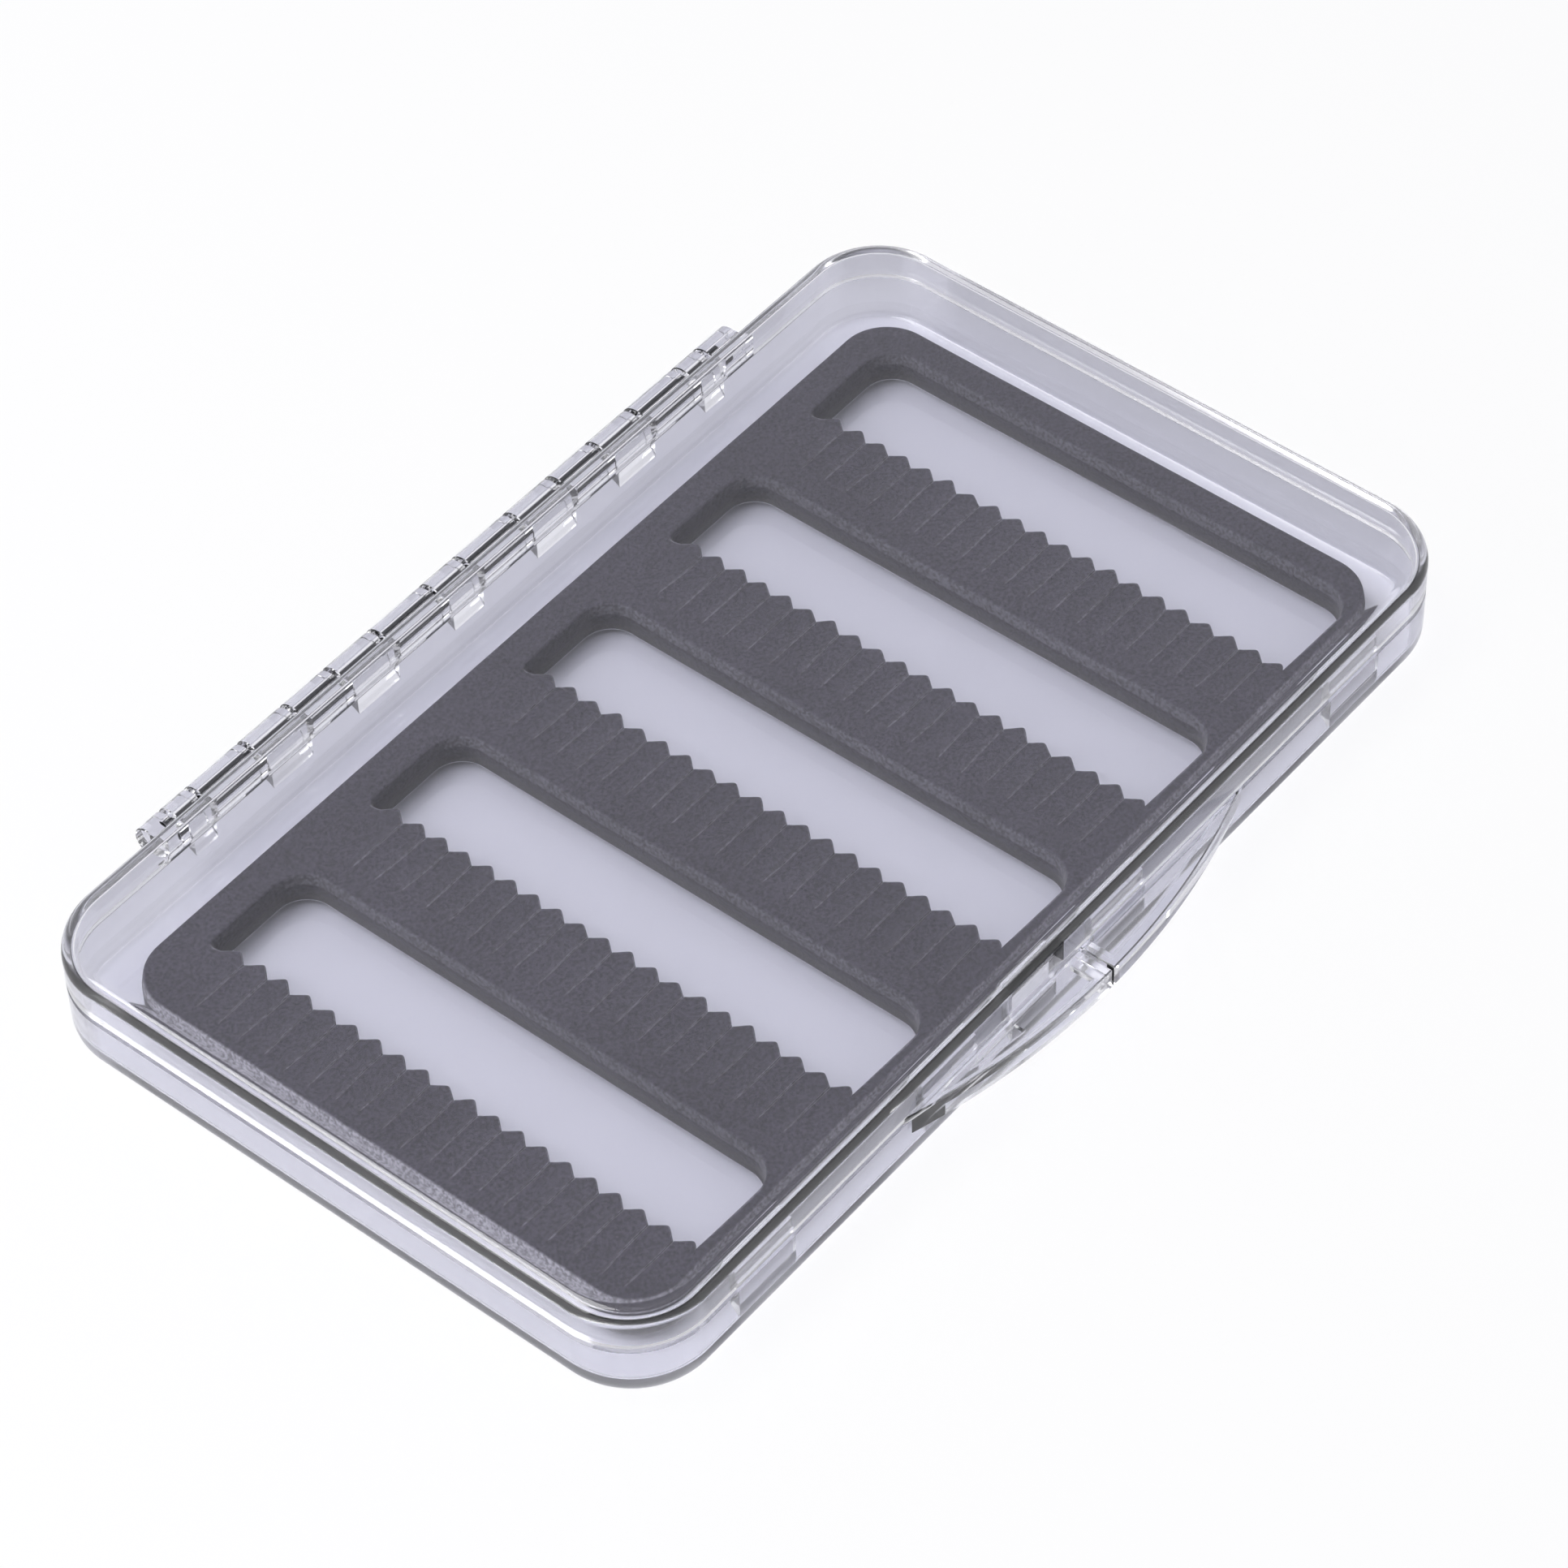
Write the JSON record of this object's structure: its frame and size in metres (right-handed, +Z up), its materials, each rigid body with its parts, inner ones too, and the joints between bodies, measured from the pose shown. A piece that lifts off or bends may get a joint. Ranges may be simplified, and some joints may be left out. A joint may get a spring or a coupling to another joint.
{
  "type": "slim fly box",
  "caption": "Slim clear pocket case for fishing flies, with a hinged lid on a pin, a split pull tab with a snap catch, and a slit foam insert with long comb-edged wells.",
  "frame": {"origin": "on the flat underside of the base, below the middle of the case's outline measured over the hinge knuckles and the pull tab", "axes": "+X along the hinge pin, +Y from the pull tab to the hinge, +Z up through the lid"},
  "size_m": [0.15, 0.0996, 0.0142],
  "materials": {
    "clear_base": "clear glossy moulded polystyrene",
    "clear_lid": "clear glossy moulded polystyrene",
    "pin_steel": "drawn steel wire",
    "foam": "matte fine closed-cell foam, dark grey",
    "film": "thin milky double-sided adhesive film"
  },
  "bodies": {
    "base": {"base": "clear_base", "hinge_pin": "pin_steel", "adhesive_film": "film", "slit_foam": "foam"},
    "lid": {"lid": "clear_lid"}
  },
  "joints": [
    {"name": "lid_hinge", "type": "hinge", "parent": "base", "child": "lid", "pos_m": [0, 0.0475, 0.0089], "axis": [-1, 0, 0], "range_deg": [0, 180]}
  ]
}
